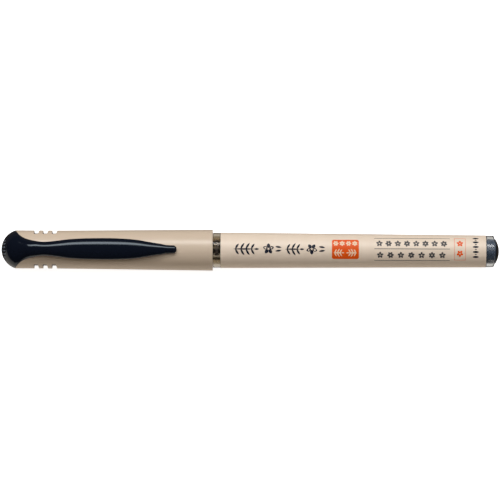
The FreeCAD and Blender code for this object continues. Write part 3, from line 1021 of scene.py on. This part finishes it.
@dataclass
class Barrel:
    """The clear barrel with its label and its tail plug."""

    shop: Workshop
    radius: float = 4.99
    bore: float = 4.05
    taper: float = 0.49
    straight: float = 7.8
    label_lift: float = 0.06
    label_gap: float = 0.012
    tail_bore: float = 3.57
    tail_round: float = 0.60
    plug_dome: float = 1.05
    plug_length: float = 9.0
    gap: float = 0.03

    def __post_init__(self) -> None:
        """Read where the barrel and the label start and end."""
        low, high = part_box("barrel")
        self.front, self.tail = self.shop.axis.along(low.x), self.shop.axis.along(high.x)
        low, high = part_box("label")
        self.label_start, self.label_end = self.shop.axis.along(low.x), self.shop.axis.along(high.x)
        self.end = self.shop.axis.along(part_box("tail_plug")[1].x)

    def narrowing(self, s: float) -> float:
        """Share of the taper that is reached at s."""
        return share_between(s, self.front + self.straight, self.tail)

    def outside(self, s: float) -> float:
        """Outer radius of the barrel at s."""
        return self.radius - self.taper * self.narrowing(s)

    def inside(self, s: float) -> float:
        """Inner radius of the barrel at s."""
        return self.bore - (self.bore - self.tail_bore) * self.narrowing(s)

    def skin(self, s: float) -> float:
        """Outer radius of the label at s."""
        return self.outside(s) + self.label_lift

    def build(self) -> list[Object]:
        """Make all the barrel's pieces.

        Returns:
            The pieces.
        """
        return [self.tube(), self.label(), *self.plug()]

    def tube(self) -> Object:
        """Turn the clear tube with its rounded tail.

        Returns:
            The tube.
        """
        steps = [
            (self.front - 0.2, self.bore),
            (self.front - 0.2, self.radius),
            (self.front + self.straight, self.radius),
            (self.tail, self.outside(self.tail)),
            (self.tail, self.tail_bore),
            (self.front + self.straight, self.bore),
        ]
        tube = self.shop.turned("barrel_tube", steps, {1: 0.12, 3: self.tail_round, 4: 0.12}, 144)
        return self.shop.dress(tube, CLEAR, "barrel", "clear_barrel", "barrel")

    def label(self) -> Object:
        """Turn the label's film.

        Returns:
            The label.
        """
        taper = self.front + self.straight
        inner, outer = self.label_gap, self.label_lift
        steps = [
            (self.label_start, self.radius + inner),
            (self.label_start, self.radius + outer),
            (taper, self.radius + outer),
            (self.label_end, self.outside(self.label_end) + outer),
            (self.label_end, self.outside(self.label_end) + inner),
            (taper, self.radius + inner),
        ]
        label = self.shop.turned("label_film_wrap", steps, {1: 0.02, 3: 0.02}, 144)
        return self.shop.dress(label, FILM, "barrel", "label", "label")

    def plug(self) -> list[Object]:
        """Turn the tail plug, its navy lightened by painted haze of the clear tube round it, and its darker
        polished dome.

        Returns:
            The plug's body and its dome.
        """
        radius = self.tail_bore - 0.06
        collar = self.tail + 0.30
        sphere = (radius**2 + self.plug_dome**2) / (2 * self.plug_dome)
        dome = []
        for k in range(1, 16):
            r = radius * math.cos(math.pi / 2 * k / 16)
            dome.append((self.end - (sphere - math.sqrt(sphere**2 - r * r)), r))
        start = self.tail - self.plug_length
        led_in = self.tail - 8.2
        steps = [
            (start, 2.75),
            (start, 3.36),
            (led_in, self.inside(led_in) - self.gap),
            (self.tail, self.tail_bore - self.gap),
            (self.tail, radius),
            (collar, radius),
            (collar, 0.0),
            (self.tail - 2.0, 0.0),
            (self.tail - 2.0, 2.65),
        ]
        body = self.shop.turned("tail_plug_navy", steps, {5: 0.1}, 96)
        low, high = collar - 0.02, collar + 0.02
        lens = [(low, 0.0), (low, radius - 0.05), (high, radius), *dome, (self.end, 0.0)]
        cap = self.shop.turned("tail_plug_dome", lens, {2: 0.1}, 96)
        return [
            self.shop.dress(body, PLUG_NAVY_PAINTED_HAZE, "barrel", "navy", "tail_plug"),
            self.shop.dress(cap, NAVY, "barrel", "navy"),
        ]


# ---- printing --------------------------------------------------------------------------------


@dataclass(frozen=True)
class Leaf:
    """A tapered brush mark: where it starts, which way it goes, how long and wide, and its curl."""

    s: float
    t: float
    turn: float
    length: float
    width: float
    curl: float = 0.0

    def spine(self, count: int = 9) -> list[tuple[Vector, Vector, float]]:
        """Walk along the mark.

        Args:
            count: How many places to give.

        Returns:
            The point, the sideways direction and the half width at each place.
        """
        rows = []
        spot = Vector((self.s, self.t, 0))
        for k in range(count):
            share = k / (count - 1)
            angle = math.radians(self.turn + self.curl * (share - 0.5))
            ahead = Vector((math.cos(angle), math.sin(angle), 0))
            half = self.width / 2 * (0.05 + 0.95 * math.sin(math.pi * (0.04 + 0.96 * share)) ** 0.75)
            rows.append((spot.copy(), Vector((-ahead.y, ahead.x, 0)), half))
            spot += ahead * (self.length / (count - 1))
        return rows


class Sheet:
    """A flat print, drawn mark by mark in mm as (along, round), before it is laid on the label."""

    facet: float = 0.25

    def __init__(self) -> None:
        """Start an empty sheet."""
        self.bm = bmesh.new()

    def stroke(self, leaf: Leaf) -> None:
        """Draw a brush mark by pulling its starting edge along its spine.

        Args:
            leaf: The mark.
        """
        rows = leaf.spine()
        spot, side, half = rows[0]
        ends = [self.bm.verts.new(spot - side * half), self.bm.verts.new(spot + side * half)]
        edge = self.bm.edges.new(ends)
        for spot, side, half in rows[1:]:
            fresh = grown_verts(bmesh.ops.extrude_edge_only(self.bm, edges=[edge])["geom"])
            fresh.sort(key=lambda v: (v.co - spot).dot(side))
            fresh[0].co = spot - side * half
            fresh[1].co = spot + side * half
            edge = self.bm.edges.get(fresh)

    def patch(self, low: Point, high: Point, corner: float = 0.0) -> None:
        """Draw a filled block, cut into facets so that it can bend round the label.

        Args:
            low: Lowest (along, round) corner, in mm.
            high: Highest corner.
            corner: Corner radius, or 0 for square corners.
        """
        start = set(self.bm.verts)
        corners = (low, (high[0], low[1]), high, (low[0], high[1]))
        verts = [self.bm.verts.new((x, y, 0)) for x, y in corners]
        self.bm.faces.new(verts)
        if corner:
            bmesh.ops.bevel(
                self.bm, geom=verts, offset=corner, offset_type="OFFSET", segments=5, profile=0.5,
                affect="VERTICES", material=-1,
            )
        count = max(1, round((high[1] - low[1]) / self.facet))
        for k in range(1, count):
            mine = [v for v in self.bm.verts if v not in start]
            edges = {e for v in mine for e in v.link_edges}
            faces = {f for v in mine for f in v.link_faces}
            level = low[1] + (high[1] - low[1]) * k / count
            bmesh.ops.bisect_plane(
                self.bm, geom=[*mine, *edges, *faces], dist=1e-6, plane_co=(0, level, 0),
                plane_no=(0, 1, 0),
            )

    def sprig(self, start: Point, turn: float, length: float, pairs: int, size: float) -> None:
        """Draw a stem with pairs of leaves and one at its end.

        Args:
            start: Foot of the stem as (along, round), in mm.
            turn: Way that the stem goes, in degrees from along the pen.
            length: Stem's length in mm.
            pairs: Pairs of leaves.
            size: Length of the longest leaf in mm.
        """
        ahead = Vector((math.cos(math.radians(turn)), math.sin(math.radians(turn))))
        self.stroke(Leaf(*start, turn, length, 0.42))
        for k in range(pairs):
            spot = Vector(start) + ahead * length * (k + 0.35) / pairs
            reach = size * (1 - 0.22 * abs(k - (pairs - 1) / 2) / max(pairs / 2, 1))
            for side in (-1, 1):
                self.stroke(Leaf(spot.x, spot.y, turn + 58 * side, reach, size * 0.27, -22 * side))
        end = Vector(start) + ahead * (length - 0.1)
        self.stroke(Leaf(end.x, end.y, turn, size * 0.6, size * 0.24))

    def blossom(self, middle: Point, size: float, petals: int = 5, turn: float = 90) -> None:
        """Draw a ring of petals.

        Args:
            middle: Middle as (along, round), in mm.
            size: Radius in mm.
            petals: Number of petals.
            turn: Way that the first petal points, in degrees.
        """
        for k in range(petals):
            way = turn + 360 / petals * k
            ahead = Vector((math.cos(math.radians(way)), math.sin(math.radians(way))))
            foot = Vector(middle) + 0.16 * size * ahead
            self.stroke(Leaf(foot.x, foot.y, way, size * 0.84, size * 0.62))


@dataclass
class Printing:
    """Everything printed on the label, as thin ink on the film. It shows no lettering."""

    shop: Workshop
    barrel: Barrel
    ink: float = 0.012

    def wrap(self, bm: bmesh.types.BMesh, lift: float) -> None:
        """Lay a flat mesh, drawn in mm as (along, round), on the label.

        Args:
            bm: The mesh.
            lift: Height of its underside above the film, in mm.
        """
        for vert in bm.verts:
            s, t, up = vert.co
            radius = self.barrel.skin(s)
            angle = t / radius
            radius += lift + up
            vert.co = self.shop.axis.at(s, radius * math.sin(angle), radius * math.cos(angle))

    def press(self, sheet: Sheet, name: str, finish: PressedInk, lift: float = 0.004) -> Object:
        """Give a flat print its thickness and lay it on the label.

        Args:
            sheet: The flat print.
            name: The piece's name.
            finish: The ink.
            lift: Height of its underside above the film, in mm.

        Returns:
            The print.
        """
        bm = sheet.bm
        for face in bm.faces:
            face.normal_update()
            if face.normal.z < 0:
                face.normal_flip()
        raised = grown_verts(bmesh.ops.extrude_face_region(bm, geom=list(bm.faces))["geom"])
        bmesh.ops.translate(bm, verts=raised, vec=(0, 0, self.ink))
        self.wrap(bm, lift)
        return self.shop.dress(self.shop.keep(bm, name, 60), finish, "barrel")

    def build(self) -> list[Object]:
        """Print everything.

        Returns:
            The prints.
        """
        prints = (
            self.motifs, self.seal, self.seal_pattern, self.rules, self.dabs, self.frame_box, self.tail_marks
        )
        return [draw() for draw in prints]

    def motifs(self) -> Object:
        """Sprigs and blossoms in navy, in a row.

        Returns:
            The print.
        """
        sheet = Sheet()
        sheet.sprig((66.3, 0.22), 0, 6.0, 4, 2.15)
        sheet.sprig((81.0, 0.22), 0, 4.2, 3, 2.05)
        for middle, leaves, turn in ((76.2, 78.2, 90), (88.5, 90.6, 270)):
            sheet.blossom((middle, 0.3), 1.6, turn=turn)
            for across, way in ((0.95, -8), (-0.35, 8)):
                sheet.stroke(Leaf(leaves, across, way, 1.7, 0.55))
        return self.press(sheet, "print_plants", NAVY_INK)

    def seal(self) -> Object:
        """Orange block with round corners.

        Returns:
            The print.
        """
        sheet = Sheet()
        sheet.patch((94.25, -2.6), (101.9, 3.2), 0.55)
        return self.press(sheet, "print_seal", SEAL_INK)

    def seal_pattern(self) -> Object:
        """Pale blossoms and sprigs on the orange block.

        Returns:
            The print.
        """
        sheet = Sheet()
        for k in range(4):
            sheet.blossom((95.35 + 1.8 * k, 2.0), 0.80, 6, 30 * k)
        sheet.sprig((94.75, -0.75), 0, 2.3, 3, 1.35)
        sheet.sprig((101.3, -0.75), 180, 2.3, 3, 1.35)
        return self.press(sheet, "print_seal_leaves", PALE_INK, 0.020)

    def rules(self) -> Object:
        """Three fine grey rules along the barrel.

        Returns:
            The print.
        """
        sheet = Sheet()
        half = 0.08
        for t in (3.88, 0.45, -3.0):
            sheet.patch((106.3, t - half), (127.8, t + half))
        return self.press(sheet, "print_rules", GREY_INK)

    def dabs(self) -> Object:
        """Two rows of small grey blossoms between the rules.

        Returns:
            The print.
        """
        sheet = Sheet()
        for count, start, pitch, across in ((8, 107.75, 2.62, 2.05), (7, 107.95, 2.95, -1.35)):
            for k in range(count):
                sheet.blossom((start + pitch * k, across), 0.98, 5 + k % 2, 90 + 36 * k)
        return self.press(sheet, "print_dabs", GREY_INK)

    def frame_box(self) -> Object:
        """Fine orange frame with two blossoms in it.

        Returns:
            The print.
        """
        sheet = Sheet()
        left, right, bottom, top, line = 129.05, 132.25, -2.85, 4.0, 0.09
        sheet.patch((left, bottom), (right, bottom + line))
        sheet.patch((left, top - line), (right, top))
        for start in (left, right - line):
            sheet.patch((start, bottom + line), (start + line, top - line))
        for across, turn in ((2.1, 90), (-0.85, 270)):
            sheet.blossom(((left + right) / 2, across), 1.0, turn=turn)
        return self.press(sheet, "print_frame", SEAL_INK)

    def tail_marks(self) -> Object:
        """Column of large navy lozenges round the barrel, with small ones between them.

        Returns:
            The print.
        """
        sheet = Sheet()
        count = 5
        for k in range(count):
            t = 4.0 - 1.45 * k
            sheet.stroke(Leaf(134.3, t, 0, 1.75, 0.62))
            if k < count - 1:
                sheet.stroke(Leaf(134.85, t - 0.72, 0, 0.65, 0.26))
        return self.press(sheet, "print_lozenges", NAVY_INK)


# ---- writing end -----------------------------------------------------------------------------


@dataclass
class WritingEnd:
    """The grip section, the holder and the felt brush, with the parts seen through clear walls."""

    shop: Workshop

    def __post_init__(self) -> None:
        """Read the places of the section, the holder and the brush."""
        along = self.shop.axis.along
        low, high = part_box("grip_section")
        self.section_start, self.section_end = along(low.x), along(high.x)
        self.holder_start = along(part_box("brush_holder")[0].x)
        self.holder_end = along(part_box("brush_holder")[1].x)
        self.tip = along(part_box("brush_tip")[0].x)
        self.stem_end = along(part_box("brush_stem")[1].x)
        self.front = along(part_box("barrel")[0].x)

    def build(self) -> list[Object]:
        """Make the writing end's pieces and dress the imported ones.

        Returns:
            The pieces.
        """
        self.dress_packed()
        return [self.grip(), self.holder(), self.brush(), self.neck(), self.rail()]

    def dress_packed(self) -> None:
        """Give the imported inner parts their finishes."""
        finishes = {"collector": BLACK, "feed_rod": WICK, "ink": LIQUID, "inner_cap": LINER}
        for name, finish in finishes.items():
            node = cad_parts[name]
            for slot in node.material_slots:
                slot.material = finish.material()
            log.info("%s: dressed as %s", name, finish.name)

    def grip(self) -> Object:
        """Turn the clear section: nose, cone, ringed grip, snap ring and spigot.

        Returns:
            The section.
        """
        start, front, end = self.section_start, self.front, self.section_end
        cone = start + 9.5
        groove = ((-0.42, 4.5), (-0.2, 4.41), (0.0, 4.38), (0.2, 4.41), (0.42, 4.5))
        rings = [(cone + 1.6 * (k + 1) + away, radius) for k in range(6) for away, radius in groove]
        ridge = ((-0.6, 4.5), (-0.25, 4.59), (0.0, 4.62), (0.25, 4.59), (0.6, 4.5))
        snap = [(front - 3.0 + away, radius) for away, radius in ridge]
        steps = [
            (start, 2.62),
            (start, 3.42),
            (start + 2.5, 3.42),
            (cone, 4.5),
            *rings,
            *snap,
            (front - 0.05, 4.5),
            (front - 0.05, 4.03),
            (end, 4.03),
            (end, 3.55),
            (cone, 3.55),
            (cone, 3.02),
            (start + 5.5, 3.02),
            (start + 5.5, 2.62),
        ]
        grip = self.shop.turned("grip_section_clear", steps, {1: 0.25, 2: 0.4, 3: 0.9}, 128)
        return self.shop.dress(grip, SMOKE, "barrel", "clear_grip", "grip_section")

    def holder(self) -> Object:
        """Turn the black holder with its flared mouth.

        Returns:
            The holder.
        """
        start, end = self.holder_start, self.holder_end
        step = self.section_start
        steps = [
            (start, 1.19),
            (start, 1.61),
            (step, 2.25),
            (step, 2.60),
            (end - 1.2, 2.60),
            (end - 1.2, 3.00),
            (end, 3.00),
            (end, 0.97),
            (start + 1.3, 0.97),
        ]
        holder = self.shop.turned("brush_holder_black", steps, {0: 0.05, 1: 0.12, 2: 0.1}, 96)
        return self.shop.dress(holder, BLACK, "barrel", "black_plastic", "brush_holder")

    def brush(self) -> Object:
        """Turn the felt brush in one piece, from its point to the end of its stem.

        Returns:
            The brush.
        """
        length = self.holder_start - self.tip
        half = [(self.tip, 0.0), (self.tip + 0.04, 0.09), (self.tip + 0.14, 0.155)]
        for k in range(2, 17):
            share = k / 16
            radius = 0.14 + 0.81 * share + 0.16 * math.sin(math.pi * share) * 0.62
            half.append((self.tip + length * share, min(radius, 0.95) if share > 0.98 else radius))
        for k in range(1, 13):
            half.append((self.holder_start + k * 0.3, 0.95))
        half += [(self.stem_end, 0.95), (self.stem_end, 0.0)]
        brush = self.shop.turned("felt_brush", half, None, 48)
        bend = ("barrel", self.holder_start - 1.2, self.holder_start + 3.2, 0.0)
        return self.shop.dress(brush, WHITE_FELT, "brush", "felt", "brush_tip", "brush_stem", bend=bend)

    def neck(self) -> Object:
        """Turn the band on the collector's neck that shows in the front window; its grey is a painted
        highlight on the black collector.

        Returns:
            The band.
        """
        low, high = self.front + 0.45, self.front + 1.45
        steps = [(low, 2.6), (low, 2.955), (high, 2.955), (high, 2.6)]
        band = self.shop.turned("collector_band", steps, {1: 0.12, 2: 0.12}, 96)
        return self.shop.dress(band, BAND_PAINTED_HIGHLIGHT, "barrel")

    def rail(self) -> Object:
        """Pull the lipped rail beside the collector's feed groove along the front window. Its pale grey is a
        painted glint along the lip.

        Returns:
            The rail, its lip turned to the light.
        """
        bm = bmesh.new()
        section = ((-0.92, 2.80), (-1.42, 2.52), (-1.90, 2.88), (-2.04, 2.40), (-0.92, 2.40))
        start, length = self.front - 0.15, 2.6
        face = bm.faces.new([bm.verts.new(self.shop.axis.at(start, y, z)) for y, z in section])
        pulled = grown_verts(bmesh.ops.extrude_face_region(bm, geom=[face])["geom"])
        bmesh.ops.translate(bm, verts=pulled, vec=(length * MM, 0, 0))
        rail = self.shop.keep(bm, "collector_rail")
        self.shop.soften(rail, 0.03)
        return self.shop.dress(rail, RAIL_PAINTED_GLINT, "barrel")


# ---- studio ----------------------------------------------------------------------------------


@dataclass
class Studio:
    """Pale floor, soft lights and the camera that looks down on the pen."""

    axis: Axis
    distance: float = 1.1
    view_width: float = 0.14275
    lean: float = 2.0
    roll: float = 0.25
    sensor: float = 36.0
    card: float = 0.80

    def build(self) -> None:
        """Set up the floor, the lights and the camera."""
        self.floor()
        self.world()
        self.softbox("key", (0.0, 0.61, 0.63), (1.15, 0.34), 5.9)
        self.softbox("key_core", (0.0, 0.60, 0.62), (1.05, 0.12), 1.5)
        for lamp in (
            self.softbox("overhead", (0.0, 0.23, 0.85), (1.6, 0.35), 2.8),
            self.softbox("low_fill", (0.0, -0.62, 0.055), (2.2, 0.10), 1.2, (1.0, 0.90, 0.78)),
        ):
            lamp.visible_glossy = False
        self.camera()
        bpy.context.scene.view_settings.view_transform = "Standard"

    def floor(self) -> None:
        """Lay the floor: white to the camera, a dim warm ground with a glowing strip to the pen."""
        bm = bmesh.new()
        bmesh.ops.create_grid(bm, x_segments=2, y_segments=2, size=3.0)
        mesh = bpy.data.meshes.new("floor")
        bm.to_mesh(mesh)
        bm.free()
        floor = add_to_scene("floor", mesh)
        board = NodeBoard("white_floor")
        fleck = board.span(board.noise(30, 2), 0, 1)
        ground = board.tint(fleck, (0.86, 0.86, 0.86), (0.88, 0.88, 0.88))
        shown = {
            "Base Color": ground,
            "Roughness": 0.9,
            "Emission Color": (*WHITE, 1),
            "Emission Strength": 0.9,
        }
        white = board.add("BsdfPrincipled", shown)
        warm = board.tint(fleck, (0.10, 0.085, 0.07), (0.12, 0.10, 0.08))
        bounce = board.add("BsdfDiffuse", {"Color": warm})
        across = board.add("SeparateXYZ", {0: board.coordinates()}).outputs["Y"]
        near = board.span(across, 0.0, self.card, (-0.004, -0.010))
        far = board.span(across, 1.0, 0.0, (-0.06, -0.12))
        shine = board.add("Math", {0: near, 1: far}, operation="MULTIPLY").outputs[0]
        card = board.add("Emission", {"Color": (1.0, 0.93, 0.84, 1), "Strength": shine})
        below = board.add("AddShader", {0: bounce.outputs[0], 1: card.outputs[0]})
        rays = board.add("LightPath").outputs
        pale = board.tint(fleck, (0.98, 0.96, 0.92), (1, 0.98, 0.94))
        glow = board.add("Emission", {"Color": pale, "Strength": 0.55})
        shader = below
        for ray, choice in (("Is Transmission Ray", glow), ("Is Camera Ray", white)):
            shader = board.add("MixShader", {0: rays[ray], 1: shader.outputs[0], 2: choice.outputs[0]})
        mesh.materials.append(board.close(shader.outputs[0]))

    def world(self) -> None:
        """Surround the pen with a dim even studio behind a pale backdrop."""
        world = bpy.data.worlds.new("studio")
        world.use_nodes = True
        nodes, links = world.node_tree.nodes, world.node_tree.links
        dim = nodes["Background"]
        dim.inputs["Color"].default_value = (1.0, 0.95, 0.88, 1)
        dim.inputs["Strength"].default_value = 0.025
        pale = nodes.new("ShaderNodeBackground")
        pale.inputs["Color"].default_value = (*WHITE, 1)
        mix = nodes.new("ShaderNodeMixShader")
        links.new(nodes.new("ShaderNodeLightPath").outputs["Is Camera Ray"], mix.inputs[0])
        links.new(dim.outputs[0], mix.inputs[1])
        links.new(pale.outputs[0], mix.inputs[2])
        links.new(mix.outputs[0], nodes["World Output"].inputs["Surface"])
        bpy.context.scene.world = world

    def softbox(
        self, name: str, place: Sequence[float], size: Point, power: float, colour: Colour = WHITE
    ) -> Object:
        """Hang a rectangular light that faces the pen.

        Args:
            name: The light's name.
            place: Where it hangs, in metres.
            size: Length and width, in metres.
            power: Watts.
            colour: Its colour.

        Returns:
            The light.
        """
        data = bpy.data.lights.new(name, "AREA")
        data.shape = "RECTANGLE"
        data.size, data.size_y = size
        data.energy = power
        data.color = colour
        lamp = add_to_scene(name, data)
        lamp.location = place
        aim = Vector((place[0], 0, self.axis.height)) - Vector(place)
        lamp.rotation_euler = aim.to_track_quat("-Z", "Y").to_euler()
        return lamp

    def camera(self) -> None:
        """Look down on the clip with a long lens, leaning a little towards the viewer."""
        data = bpy.data.cameras.new("camera")
        data.sensor_width = self.sensor
        data.lens = self.sensor * self.distance / self.view_width
        data.clip_start, data.clip_end = 0.05, 10.0
        camera = add_to_scene("camera", data)
        lean, roll = math.radians(self.lean), math.radians(self.roll)
        target = Vector((-0.00005, 0.0001, self.axis.height))
        camera.location = target + Vector((0, -math.sin(lean), math.cos(lean))) * self.distance
        turn = Matrix.Rotation(lean, 4, "X") @ Matrix.Rotation(roll, 4, "Z")
        camera.rotation_euler = turn.to_euler()
        bpy.context.scene.camera = camera


def main() -> None:
    """Build the pen and its studio."""
    logging.basicConfig(level=logging.INFO, format="%(message)s")
    axis = Axis.from_frame()
    shop = Workshop(axis)
    barrel = Barrel(shop)
    for assembly in (Cap(shop), barrel, Printing(shop, barrel), WritingEnd(shop)):
        pieces = assembly.build()
        log.info("%s: %d pieces", type(assembly).__name__, len(pieces))
    Studio(axis).build()


if __name__ == "__main__":
    main()
